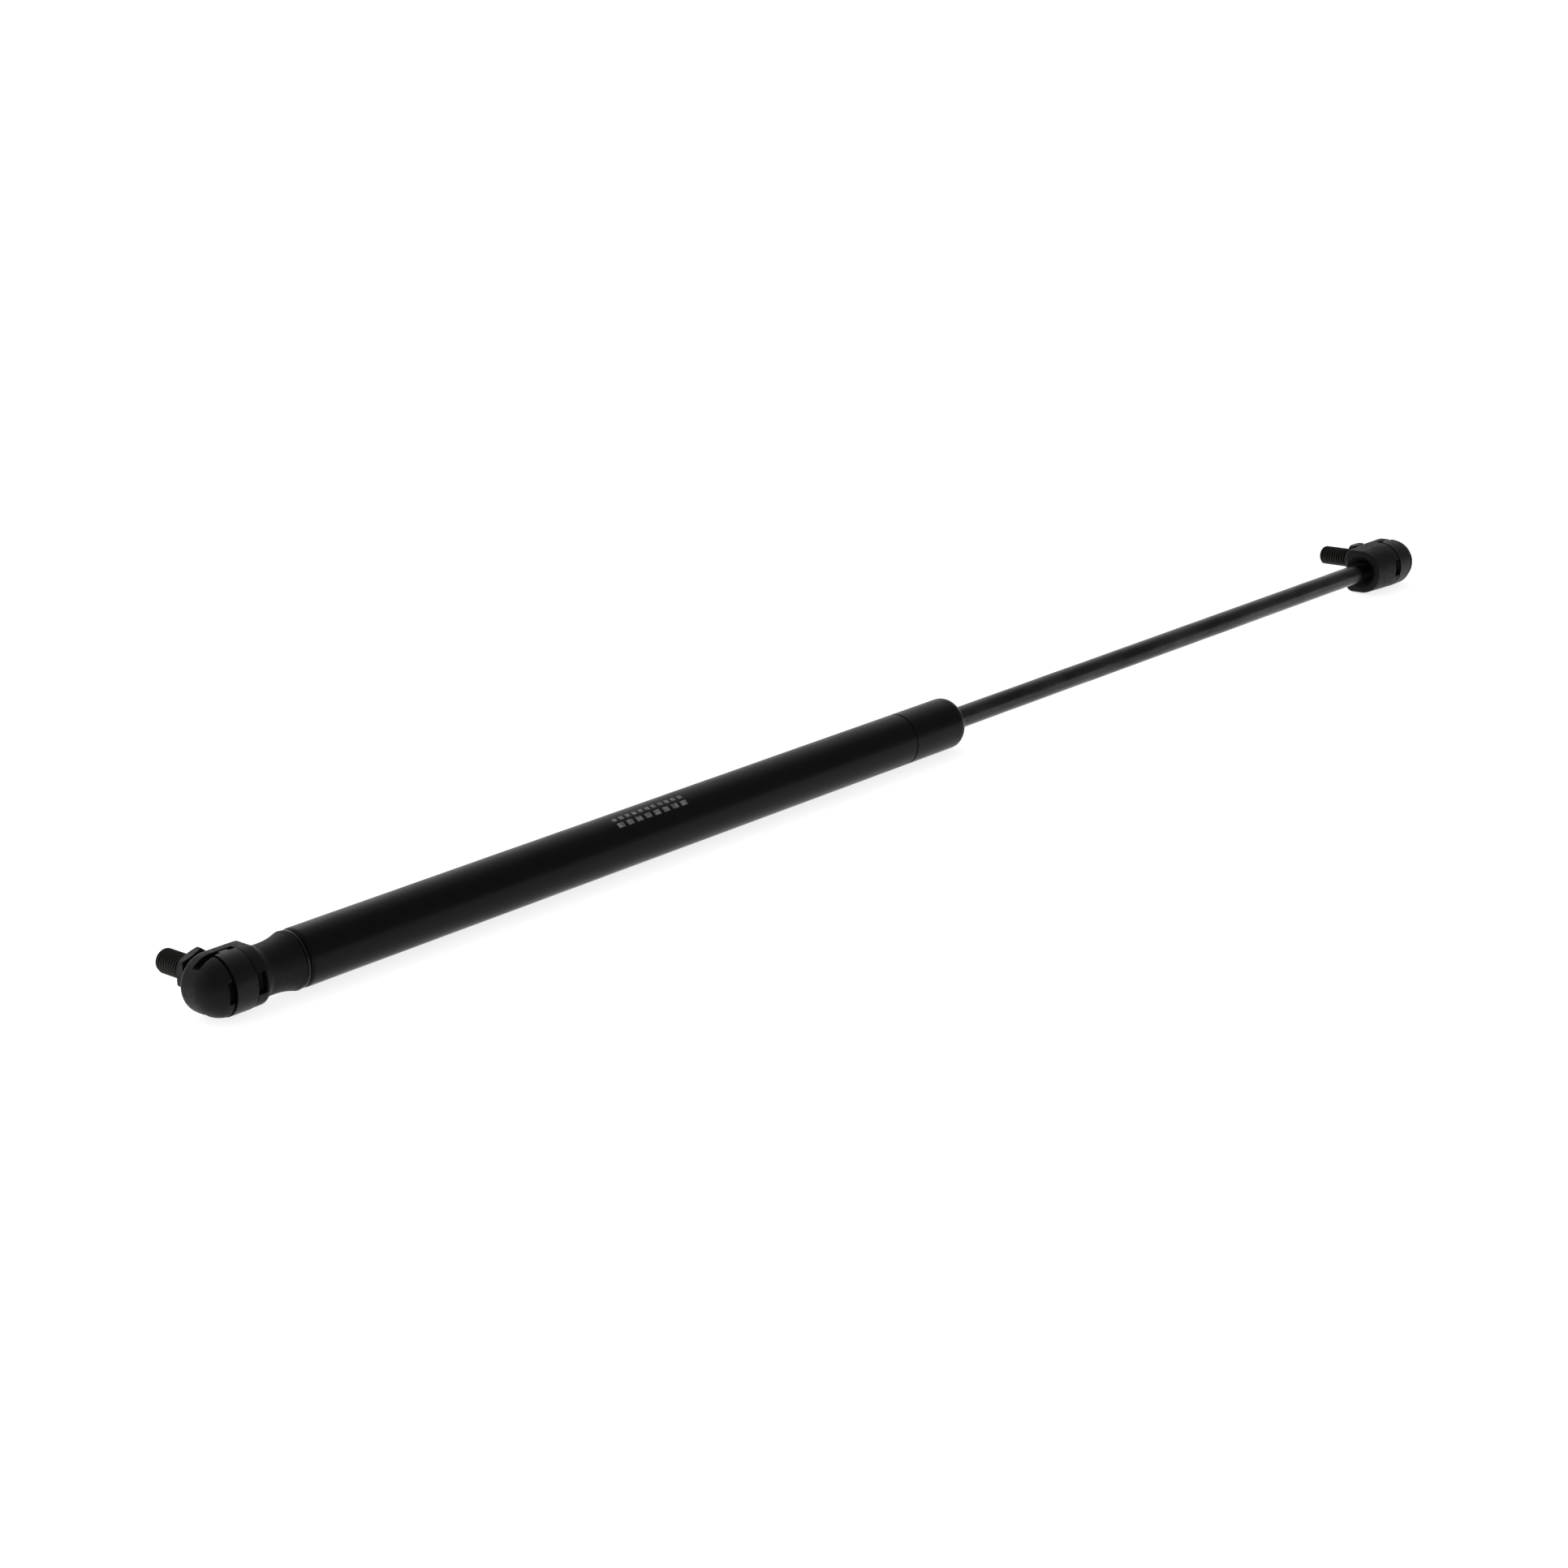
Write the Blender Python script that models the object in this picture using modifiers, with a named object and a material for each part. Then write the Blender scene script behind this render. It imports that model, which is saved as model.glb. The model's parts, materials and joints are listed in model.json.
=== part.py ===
"""Gas strut stay: an 8 mm rod in a 19 mm pressure tube, with a clipped ball socket and a threaded ball stud
at each end.

The strut lies along +X and both studs point along +Y. The origin is the centre of the ball at the cylinder
end. The strut is modelled fully extended. Units are metres, and MM turns millimetres into them.
"""

import math

import bmesh
import bpy
from mathutils import Matrix

MM = 0.001

# Driving dimensions.
CENTRES = 620 * MM  # between the two ball centres, fully extended
TUBE_R = 9.5 * MM
TUBE_WALL = 1.1 * MM
TUBE_START = 23.9 * MM
TUBE_END = 327.7 * MM
GROOVE_X = 299.2 * MM  # the groove rolled into the tube, which holds the guide and seal in place
GROOVE_DEPTH = 0.45 * MM
ROD_R = 4.0 * MM
ROD_THREAD = 24.0 * MM  # the rod's M8 thread starts this far from the ball's centre
RUN_OUT_R = 3.4 * MM  # of the short groove where that thread starts
GAP = 0.3 * MM  # between pieces that touch
RUNNING_GAP = 0.15 * MM  # between pieces that slide on each other

# The ball studs: distances are along the stud from the ball's centre.
BALL_R = 5.0 * MM
STUD_NECK_R = 2.9 * MM
HEX_FLATS = 13.0 * MM
HEX_START = 14.0 * MM
HEX_END = 17.0 * MM
SHANK_R = 4.0 * MM  # M8
STUD_END = 32.5 * MM

# The ball sockets: +X is inboard, towards the strut, and +Y is towards the stud.
BODY_R = 9.65 * MM
BODY_FACE = 8.0 * MM  # flat face that the stud leaves
BODY_CORNER = 3.0 * MM
CYLINDER_CAP_X = -3.3 * MM  # the rounded outer end is turned about the stud direction here
ROD_CAP_X = -2.4 * MM
SEAT_R = BALL_R + GAP
SHOULDER_X = 8.1 * MM
SHOULDER_LENGTH = 4.2 * MM
SHOULDER_DROP = 3.0 * MM  # to just under the neck's surface
NECK_R = 8.1 * MM
NECK_BASE_X = 22.2 * MM
NECK_BASE_R = 9.5 * MM
ROD_SOCKET_LENGTH = 20.3 * MM
ROD_SOCKET_EDGE = 0.4 * MM  # bevel round the end face
ROD_SOCKET_TAPER = 0.5 * MM  # drop in radius from the clip to the end face's bevel
DISH_R = 7.0 * MM
DISH_DEPTH = 2.4 * MM
BORE_END = 8.0 * MM  # the threaded bore stops this far from the ball's centre

# The safety clips: a spring steel band round the back of the socket, with a leg at each end that goes
# through the socket's slot to hold the ball in.
CLIP_WIDTH = 7.6 * MM
CLIP_THICK = 0.8 * MM
CLIP_OUTER_R = 9.8 * MM
CLIP_TRAVEL = 1.0 * MM
BAND_OUTER_GAP = 0.7 * MM  # beside the band, on its side away from the strut
LEG_WIDTH = 3.0 * MM
LEG_Y = 1.9 * MM
LEG_BEND_Z = 6.8 * MM
LEG_TIP_Y, LEG_TIP_Z = 3.2 * MM, 4.4 * MM
SLOT_LOW, SLOT_HIGH = -0.4 * MM, 2.6 * MM
SLOT_FLOOR = 6.6 * MM
LEG_HOLE_HIGH = 4.2 * MM
PRY_HALF = 3.4 * MM
PRY_FLOOR = 6.8 * MM
PRY_START, PRY_END = -6.2 * MM, 7.3 * MM

# Places inside the cylinder.
BORE_R = TUBE_R - TUBE_WALL
INNER_R = BORE_R - GAP
PLUG_HEAD_START = TUBE_START + TUBE_WALL + GAP
PLUG_HEAD_END = TUBE_START + 11.4 * MM
O_RING_X = TUBE_START + 7.0 * MM
O_RING_R = 1.15 * MM
ROD_SHOULDER = GROOVE_X - 2.1 * MM
SPIGOT_R = 2.5 * MM
PISTON_END = ROD_SHOULDER - 1.4 * MM
PISTON_START = PISTON_END - 5.8 * MM
RING_END = PISTON_END - 1.8 * MM
RING_START = RING_END - 2.2 * MM
RING_INNER_R = 6.3 * MM

TURNED_STEPS = 48
SMALL_STEPS = 32
SMOOTH_ANGLE = math.radians(32)
MERGE = 0.000001

# Finishes: name, base colour, roughness, metallic.
BLACK_PAINT = ("black_paint", (0.012, 0.012, 0.013), 0.38, 0.0)
NITRIDED_STEEL = ("nitrided_steel", (0.075, 0.074, 0.072), 0.32, 1.0)
BLACK_ZINC = ("black_zinc", (0.022, 0.022, 0.023), 0.5, 0.6)
SPRING_STEEL = ("black_spring_steel", (0.03, 0.03, 0.03), 0.42, 0.8)
STUD_STEEL = ("black_stud_steel", (0.028, 0.028, 0.027), 0.45, 0.8)
DARK_STEEL = ("dark_steel", (0.09, 0.09, 0.09), 0.35, 1.0)
BRIGHT_STEEL = ("bright_steel", (0.45, 0.44, 0.43), 0.3, 1.0)
ALUMINIUM = ("turned_aluminium", (0.62, 0.62, 0.62), 0.35, 1.0)
SEAL_RUBBER = ("seal_rubber", (0.02, 0.02, 0.02), 0.7, 0.0)
WEAR_PLASTIC = ("wear_plastic", (0.55, 0.5, 0.36), 0.5, 0.0)
GUIDE_PLASTIC = ("guide_plastic", (0.035, 0.035, 0.04), 0.55, 0.0)


def clear_scene():
    for old in list(bpy.data.objects):
        bpy.data.objects.remove(old, do_unlink=True)


def new_collection(name):
    collection = bpy.data.collections.new(name)
    bpy.context.scene.collection.children.link(collection)
    return collection


def material(recipe):
    """The material of this recipe, made on first use."""
    name, colour, roughness, metallic = recipe
    made = bpy.data.materials.get(name)
    if made:
        return made
    made = bpy.data.materials.new(name)
    made.use_nodes = True
    shader = made.node_tree.nodes["Principled BSDF"]
    shader.inputs["Base Color"].default_value = (*colour, 1.0)
    shader.inputs["Roughness"].default_value = roughness
    shader.inputs["Metallic"].default_value = metallic
    return made


def new_object(name, mesh, recipe, parent=None):
    """A part of the strut with this finish, or a cutter where there is none."""
    made = bpy.data.objects.new(name, mesh)
    made.parent = parent
    if recipe is None:
        CUTTERS.objects.link(made)
        made.hide_render = True
        made.display_type = "WIRE"
    else:
        PARTS.objects.link(made)
        mesh.materials.append(material(recipe))
    return made


def mesh_from(bm, name):
    bmesh.ops.recalc_face_normals(bm, faces=bm.faces)
    mesh = bpy.data.meshes.new(name)
    bm.to_mesh(mesh)
    bm.free()
    return mesh


def arc(along, radius, size, start, end, steps):
    """Points (along, radius) on a circle of this size, from one angle to another in degrees.

    Angle 0 points along the axis and 90 points away from it.
    """
    angles = [math.radians(start + (end - start) * i / steps) for i in range(steps + 1)]
    return [(along + size * math.cos(a), radius + size * math.sin(a)) for a in angles]


def turned(name, profile, recipe=None, parent=None, axis="X", closed=False, steps=TURNED_STEPS):
    """A solid turned about the strut (axis X) or the stud (axis Y).

    The profile holds points (along, radius) that run down the outer side from its far end. A closed
    profile goes back up the inner side, as on a ring.
    """
    bm = bmesh.new()
    points = [bm.verts.new((radius, 0, along)) for along, radius in profile]
    for first, second in zip(points, points[1:]):
        bm.edges.new((first, second))
    if closed:
        bm.edges.new((points[-1], points[0]))
    mesh = bpy.data.meshes.new(name)
    bm.to_mesh(mesh)
    bm.free()
    made = new_object(name, mesh, recipe, parent)
    made.rotation_euler = (0, math.pi / 2, 0) if axis == "X" else (-math.pi / 2, 0, 0)
    screw = made.modifiers.new("Turn", "SCREW")
    screw.angle = 2 * math.pi
    screw.steps = screw.render_steps = steps
    screw.use_merge_vertices = True
    screw.merge_threshold = MERGE
    return made


def cylinder(start, end, radius):
    """Profile of a plain solid cylinder."""
    return [(end, 0), (end, radius), (start, radius), (start, 0)]


def washer(name, start, end, inner, outer, recipe=BRIGHT_STEEL, chamfer=0.2 * MM):
    """A turned ring with its two outer edges chamfered."""
    profile = [
        (end, inner),
        (end, outer - chamfer),
        (end - chamfer, outer),
        (start + chamfer, outer),
        (start, outer - chamfer),
        (start, inner),
    ]
    return turned(name, profile, recipe, closed=True, steps=SMALL_STEPS)


def box(name, low, high, parent):
    """A box-shaped cutter between two corners."""
    bm = bmesh.new()
    bmesh.ops.create_cube(bm, size=1)
    for vertex in bm.verts:
        vertex.co = [a + (b - a) * (c + 0.5) for a, b, c in zip(low, high, vertex.co)]
    return new_object(name, mesh_from(bm, name), None, parent)


def combine(target, other, operation):
    modifier = target.modifiers.new(f"{operation.title()} {other.name}", "BOOLEAN")
    modifier.operation = operation
    modifier.object = other
    modifier.solver = "EXACT"


def apply_modifiers(obj):
    """Keeps the object's finished mesh, so that its round faces can be shaded smooth."""
    bpy.context.view_layer.update()
    graph = bpy.context.evaluated_depsgraph_get()
    mesh = bpy.data.meshes.new_from_object(obj.evaluated_get(graph))
    mesh.name = obj.name
    obj.modifiers.clear()
    obj.data = mesh
    mesh.shade_smooth()
    mesh.set_sharp_from_angle(angle=SMOOTH_ANGLE)


# The cylinder.


def pressure_tube():
    """Drawn tube with both ends rolled in, and one groove rolled round it near the rod end."""
    end_r, start_r = 4.0 * MM, 1.4 * MM  # of the rolled ends, outside
    groove_half = 0.5 * MM
    plug_hole = 6.4 * MM
    outer = (
        arc(TUBE_END - end_r, TUBE_R - end_r, end_r, 0, 90, 5)
        + [
            (GROOVE_X + groove_half, TUBE_R),
            (GROOVE_X, TUBE_R - GROOVE_DEPTH),
            (GROOVE_X - groove_half, TUBE_R),
        ]
        + arc(TUBE_START + start_r, TUBE_R - start_r, start_r, 90, 180, 4)
        + [(TUBE_START, plug_hole)]
    )
    inner = (
        [(TUBE_START + TUBE_WALL, plug_hole)]
        + arc(TUBE_START + start_r, TUBE_R - start_r, start_r - TUBE_WALL, 180, 90, 3)
        + [
            (GROOVE_X - groove_half, BORE_R),
            (GROOVE_X, BORE_R - GROOVE_DEPTH),
            (GROOVE_X + groove_half, BORE_R),
        ]
        + arc(TUBE_END - end_r, TUBE_R - end_r, end_r - TUBE_WALL, 90, 0, 4)
    )
    turned("pressure_tube", outer + inner, BLACK_PAINT, closed=True)


def end_plug():
    """Closes the tube and carries the threaded pin for the cylinder-end socket."""
    pin_end = BORE_END + GAP
    pin_chamfer = 0.7 * MM
    collar_r = 6.1 * MM
    edge = 0.6 * MM
    groove_half = O_RING_R + RUNNING_GAP
    groove_r = 5.4 * MM
    heel = 1.2 * MM  # clears the inside of the tube's rolled end
    profile = [
        (PLUG_HEAD_END, 0),
        (PLUG_HEAD_END, INNER_R - edge),
        (PLUG_HEAD_END - edge, INNER_R),
        (O_RING_X + groove_half, INNER_R),
        (O_RING_X + groove_half, groove_r),
        (O_RING_X - groove_half, groove_r),
        (O_RING_X - groove_half, INNER_R),
        (PLUG_HEAD_START + heel, INNER_R),
        (PLUG_HEAD_START, INNER_R - heel),
        (PLUG_HEAD_START, collar_r),
        (TUBE_START, collar_r),
        (TUBE_START, ROD_R),
        (pin_end + pin_chamfer, ROD_R),
        (pin_end, ROD_R - pin_chamfer),
        (pin_end, 0),
    ]
    turned("end_plug", profile, BRIGHT_STEEL, steps=SMALL_STEPS)


def end_plug_o_ring():
    around = arc(O_RING_X, 6.9 * MM, O_RING_R, 0, 360, 10)[:-1]
    turned("end_plug_o_ring", around, SEAL_RUBBER, closed=True, steps=SMALL_STEPS)


def end_washer():
    """Between the cylinder-end socket and the tube, on the plug's pin."""
    start, end = NECK_BASE_X + GAP, TUBE_START - GAP
    washer("end_washer", start, end, ROD_R + GAP, 9.35 * MM, DARK_STEEL)


def rod_seal(start, end):
    """Lip seal that grips the rod. Its two lips face the gas."""
    rod_fit = ROD_R + RUNNING_GAP
    loose = ROD_R + 2 * GAP
    edge = 0.6 * MM
    lips = start + 2.3 * MM
    profile = [
        (end, loose),
        (end, INNER_R),
        (start + edge, INNER_R),
        (start, INNER_R - edge),
        (start, INNER_R - 2 * edge),
        (lips, INNER_R - 1.7 * MM),
        (lips, rod_fit + 1.1 * MM),
        (start + GAP, rod_fit + 0.8 * MM),
        (start + 0.7 * MM, rod_fit),
        (start + 3.9 * MM, loose),
    ]
    turned("rod_seal", profile, SEAL_RUBBER, closed=True, steps=SMALL_STEPS)


def rod_guide(start, end):
    """Plastic bearing for the rod, with one relief groove round its outside."""
    rod_fit = ROD_R + RUNNING_GAP
    edge = 0.5 * MM
    relief = 0.9 * MM
    middle = (start + end) / 2
    profile = [
        (end, rod_fit + edge),
        (end, INNER_R - edge),
        (end - edge, INNER_R),
        (middle + 1.5 * MM, INNER_R),
        (middle + relief, INNER_R - relief),
        (middle - relief, INNER_R - relief),
        (middle - 1.5 * MM, INNER_R),
        (start + edge, INNER_R),
        (start, INNER_R - edge),
        (start, rod_fit + edge),
        (start + edge, rod_fit),
        (end - edge, rod_fit),
    ]
    turned("rod_guide", profile, GUIDE_PLASTIC, closed=True, steps=SMALL_STEPS)


def guide_pack():
    """The fixed pieces round the rod, in order from the tube's groove to its open end."""
    loose = ROD_R + GAP
    thick = 1.2 * MM
    place = GROOVE_X + 1.3 * MM
    washer("support_washer", place, place + thick, loose, INNER_R)
    place += thick + GAP
    rod_seal(place, place + 6.0 * MM)
    place += 6.0 * MM + GAP
    washer("seal_washer", place, place + thick, loose, INNER_R)
    place += thick + GAP
    rod_guide(place, place + 13.2 * MM)
    place += 13.2 * MM + GAP
    washer("retaining_washer", place, place + thick, loose, 7.6 * MM)
    place += thick + GAP
    washer("rod_wiper", place, TUBE_END - GAP, ROD_R + RUNNING_GAP, 5.2 * MM, SEAL_RUBBER)


# The rod and its piston.


def piston_rod():
    """Plain rod with a riveted spigot for the piston and a threaded end for the socket.

    The thread is a plain cylinder behind its run-out groove.
    """
    rivet_end = PISTON_START - 1.4 * MM
    rivet_start = rivet_end - 1.2 * MM
    rivet_r = 3.7 * MM
    rivet_edge = 0.7 * MM
    rod_end = CENTRES - BORE_END - GAP
    chamfer = 0.7 * MM
    thread_start = CENTRES - ROD_THREAD
    slope = 0.4 * MM
    profile = [
        (rod_end, 0),
        (rod_end, ROD_R - chamfer),
        (rod_end - chamfer, ROD_R),
        (thread_start + 5 * slope, ROD_R),
        (thread_start + 4 * slope, RUN_OUT_R),
        (thread_start + slope, RUN_OUT_R),
        (thread_start, ROD_R),
        (ROD_SHOULDER, ROD_R),
        (ROD_SHOULDER, SPIGOT_R),
        (rivet_end, SPIGOT_R),
        (rivet_end, rivet_r),
        (rivet_start + rivet_edge, rivet_r),
        (rivet_start, rivet_r - rivet_edge),
        (rivet_start, 0),
    ]
    turned("piston_rod", profile, NITRIDED_STEEL)


def piston():
    """Aluminium piston with a ring groove. Four holes let the gas pass from one side to the other."""
    piston_r = BORE_R - 0.4 * MM
    inner = SPIGOT_R + RUNNING_GAP
    groove_r = RING_INNER_R - GAP
    edge = 0.4 * MM
    profile = [
        (PISTON_END, inner),
        (PISTON_END, piston_r - edge),
        (PISTON_END - edge, piston_r),
        (RING_END + RUNNING_GAP, piston_r),
        (RING_END + RUNNING_GAP, groove_r),
        (RING_START - RUNNING_GAP, groove_r),
        (RING_START - RUNNING_GAP, piston_r),
        (PISTON_START + edge, piston_r),
        (PISTON_START, piston_r - edge),
        (PISTON_START, inner),
    ]
    made = turned("piston", profile, ALUMINIUM, closed=True, steps=SMALL_STEPS)
    hole_r, hole_circle = 0.6 * MM, 4.3 * MM
    for number in range(4):
        angle = math.radians(45 + 90 * number)
        past = 1 * MM
        hole_profile = cylinder(PISTON_START - past, PISTON_END + past, hole_r)
        hole = turned(f"gas_hole_{number + 1}_cutter", hole_profile, steps=12)
        hole.location = (0, hole_circle * math.cos(angle), hole_circle * math.sin(angle))
        combine(made, hole, "DIFFERENCE")


def piston_pack():
    """The piston and what is on it, between the rivet and the rod's shoulder."""
    piston()
    washer("piston_ring", RING_START, RING_END, RING_INNER_R, BORE_R - RUNNING_GAP, WEAR_PLASTIC)
    inner = SPIGOT_R + RUNNING_GAP
    washer("piston_washer", PISTON_END + GAP, ROD_SHOULDER - GAP, inner, 6.4 * MM)
    washer("orifice_disc", PISTON_START - GAP - 0.8 * MM, PISTON_START - GAP, inner, 6.0 * MM)


# The ball sockets.


def body_section():
    """The socket's half section (y, half width), from the back round to the flat stud-side face."""
    back = arc(0, 0, BODY_R, 180, 90, 9)
    corner = arc(BODY_FACE - BODY_CORNER, BODY_R - BODY_CORNER, BODY_CORNER, 90, 0, 5)
    return back + corner + [(BODY_FACE, 0)]


def socket_body(name, cap_x, ends, parent):
    """The rounded outer end and the straight body.

    The half section is spun half a turn about the stud direction at cap_x. Its open edge is then drawn
    inboard to each (x, scale) in ends, and closed.
    """
    bm = bmesh.new()
    section = [bm.verts.new((cap_x, y, width)) for y, width in body_section()]
    edges = [bm.edges.new(pair) for pair in zip(section, section[1:])]
    bmesh.ops.spin(
        bm,
        geom=section + edges,
        cent=(cap_x, 0, 0),
        axis=(0, 1, 0),
        angle=-math.pi,
        steps=18,
    )
    bmesh.ops.remove_doubles(bm, verts=bm.verts, dist=MERGE)
    open_edges = [edge for edge in bm.edges if edge.is_boundary]
    for x, scale in ends:
        drawn = bmesh.ops.extrude_edge_only(bm, edges=open_edges)["geom"]
        for vertex in (item for item in drawn if isinstance(item, bmesh.types.BMVert)):
            vertex.co = (x, vertex.co.y * scale, vertex.co.z * scale)
        open_edges = [e for e in drawn if isinstance(e, bmesh.types.BMEdge) and e.is_boundary]
    bmesh.ops.contextual_create(bm, geom=open_edges)
    return new_object(name, mesh_from(bm, name), BLACK_ZINC, parent)


def seat_cutter(end, parent):
    """The ball's seat, and the mouth that lets the stud tilt."""
    mouth_r = 7.2 * MM
    mouth_start = 4.8 * MM
    above = BODY_FACE + 3 * MM
    profile = [(above, 0), (above, mouth_r), (BODY_FACE + GAP, mouth_r), (mouth_start, SEAT_R)]
    seat = arc(0, 0, SEAT_R, 90, 180, 8)
    return turned(f"{end}_seat_cutter", profile + seat, None, parent, axis="Y", steps=SMALL_STEPS)


def band_cutter(end, parent):
    """The recess for the clip's band, round the back from one slot to the other."""
    outer_x = -CLIP_WIDTH / 2 - BAND_OUTER_GAP
    inner_x = CLIP_WIDTH / 2 + GAP
    outside = BODY_R + 4 * MM
    floor = CLIP_OUTER_R - CLIP_THICK - 0.4 * MM
    start = math.acos((SLOT_LOW + SLOT_HIGH) / 2 / floor)  # the recess opens into both slots
    bm = bmesh.new()
    corners = [(outer_x, floor), (inner_x, floor), (inner_x, outside), (outer_x, outside)]
    section = bm.faces.new(
        [bm.verts.new((x, r * math.cos(start), r * math.sin(start))) for x, r in corners]
    )
    bmesh.ops.spin(
        bm,
        geom=[section] + list(section.edges) + list(section.verts),
        cent=(0, 0, 0),
        axis=(1, 0, 0),
        angle=2 * math.pi - 2 * start,
        steps=26,
    )
    return new_object(f"{end}_band_cutter", mesh_from(bm, f"{end}_band_cutter"), None, parent)


def slot_cutters(end, parent):
    """The slots that run in from the outer end, and the holes that let the clip's legs reach the ball."""
    inboard = CLIP_WIDTH / 2 + GAP
    hole_half = LEG_WIDTH / 2 + GAP
    outside = BODY_R + 3 * MM
    past = 0.1 * MM
    seat_side = 2 * MM
    made = []
    for side, sign in (("upper", 1), ("lower", -1)):
        slot_z = sorted((sign * SLOT_FLOOR, sign * outside))
        hole_z = sorted((sign * seat_side, sign * (SLOT_FLOOR + past)))
        made += [
            box(
                f"{end}_{side}_slot_cutter",
                (-2 * outside, SLOT_LOW, slot_z[0]),
                (inboard, SLOT_HIGH, slot_z[1]),
                parent,
            ),
            box(
                f"{end}_{side}_leg_cutter",
                (-hole_half, SLOT_LOW + past, hole_z[0]),
                (hole_half, LEG_HOLE_HIGH, hole_z[1]),
                parent,
            ),
        ]
    return made


def pry_cutter(end, parent):
    """The channel under the band, where a screwdriver lifts the clip."""
    low = (PRY_START, -BODY_R - 3 * MM, -PRY_HALF)
    high = (PRY_END, -PRY_FLOOR, PRY_HALF)
    return box(f"{end}_pry_cutter", low, high, parent)


def bore_cutter(end, length, parent):
    """The threaded bore from the inboard face, and on the rod end the dish that the rod enters."""
    outside = length + 3 * MM
    bore_r = ROD_R + GAP
    profile = [(outside, 0)]
    if end == "rod":
        profile += [(outside, DISH_R), (length, DISH_R), (length - DISH_DEPTH, bore_r)]
    else:
        profile += [(outside, bore_r)]
    profile += [(BORE_END, bore_r), (BORE_END, 0)]
    return turned(f"{end}_bore_cutter", profile, None, parent)


def neck(parent):
    """The cylinder-end socket's neck, which flares out to the tube's size."""
    waist = 13.0 * MM
    base_edge = 0.8 * MM
    steps = 7
    power = 2.2
    start = SHOULDER_X + 0.5 * MM
    profile = [(NECK_BASE_X, 0)]
    for i in range(steps + 1):
        t = 1 - i / steps
        along = waist + (NECK_BASE_X - base_edge - waist) * t
        if i == 0:
            profile.append((NECK_BASE_X, NECK_BASE_R))
        profile.append((along, NECK_R + (NECK_BASE_R - NECK_R) * t**power))
    profile += [(start, NECK_R), (start, 0)]
    return turned("cylinder_neck_joined", profile, None, parent)


def ball_socket(end, pivot):
    """One ball socket. The cylinder end has a shoulder and a neck, and the rod end a straight body."""
    if end == "rod":
        length = ROD_SOCKET_LENGTH
        bevel = length - ROD_SOCKET_EDGE
        tapered = 1 - ROD_SOCKET_TAPER / BODY_R
        bevelled = tapered - ROD_SOCKET_EDGE / BODY_R
        ends = [(PRY_END, 1.0), (bevel, tapered), (length, bevelled)]
        made = socket_body(f"{end}_socket", ROD_CAP_X, ends, pivot)
    else:
        length = NECK_BASE_X
        ends = [(SHOULDER_X, 1.0), (SHOULDER_X + SHOULDER_LENGTH, 1 - SHOULDER_DROP / BODY_R)]
        made = socket_body(f"{end}_socket", CYLINDER_CAP_X, ends, pivot)
    if end == "cylinder":
        combine(made, neck(pivot), "UNION")
    cutters = [
        seat_cutter(end, pivot),
        band_cutter(end, pivot),
        *slot_cutters(end, pivot),
        pry_cutter(end, pivot),
        bore_cutter(end, length, pivot),
    ]
    for cutter in cutters:
        combine(made, cutter, "DIFFERENCE")


# The safety clips.


def leg_path():
    """Middle line (y, z) of the clip's upper leg, from its tip out to where the band starts."""
    middle = CLIP_OUTER_R - CLIP_THICK / 2
    bend = 0.9 * MM
    top = math.sqrt(middle**2 - (LEG_Y - bend) ** 2)
    turn = [
        (LEG_Y - bend + bend * math.cos(a), top - bend + bend * math.sin(a))
        for a in (math.radians(t) for t in (0, 30, 60, 90))
    ]
    return [(LEG_TIP_Y, LEG_TIP_Z), (LEG_Y, LEG_BEND_Z)] + turn


def safety_clip(end, pivot):
    """The band is a strip three faces wide, and each leg carries on from its middle face."""
    name = f"{end}_clip"
    columns = (-CLIP_WIDTH / 2, -LEG_WIDTH / 2, LEG_WIDTH / 2, CLIP_WIDTH / 2)
    middle = CLIP_OUTER_R - CLIP_THICK / 2
    bm = bmesh.new()

    def row(xs, y, z):
        return [bm.verts.new((x, y, z)) for x in xs]

    def strip(rows):
        for first, second in zip(rows, rows[1:]):
            for (a, b), (c, d) in zip(zip(first, first[1:]), zip(second, second[1:])):
                bm.faces.new((a, b, d, c))

    band = [row(columns, y, z) for y, z in arc(0, 0, middle, 90, 270, 26)]
    strip(band)
    for edge_row, side in ((band[0], 1), (band[-1], -1)):
        leg = [row(columns[1:3], y, side * z) for y, z in leg_path()]
        strip(leg + [edge_row[1:3]])
    bmesh.ops.recalc_face_normals(bm, faces=bm.faces)
    mesh = bpy.data.meshes.new(name)
    bm.to_mesh(mesh)
    bm.free()
    made = new_object(name, mesh, SPRING_STEEL, pivot)
    sheet = made.modifiers.new("Sheet", "SOLIDIFY")
    sheet.thickness = CLIP_THICK
    sheet.offset = 0
    sheet.use_even_offset = True
    # The legs' tips are hollowed to clear the ball when the clip is lifted by its whole travel.
    ball = arc(0, 0, BALL_R + RUNNING_GAP, 0, 180, 20)
    clear = turned(f"{name}_ball_cutter", ball, None, pivot, axis="Y", steps=SMALL_STEPS)
    clear.location.y = CLIP_TRAVEL
    combine(made, clear, "DIFFERENCE")


# The ball studs.


def hexagon(end, turn, parent):
    corner_r = HEX_FLATS / 2 / math.cos(math.pi / 6)
    bm = bmesh.new()
    bmesh.ops.create_cone(
        bm,
        cap_ends=True,
        segments=6,
        radius1=corner_r,
        radius2=corner_r,
        depth=HEX_END - HEX_START,
        matrix=Matrix.Rotation(turn, 4, "Z"),
    )
    made = new_object(f"{end}_hexagon_joined", mesh_from(bm, f"{end}_hexagon_joined"), None, parent)
    made.location.y = (HEX_START + HEX_END) / 2
    made.rotation_euler.x = -math.pi / 2
    return made


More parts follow.
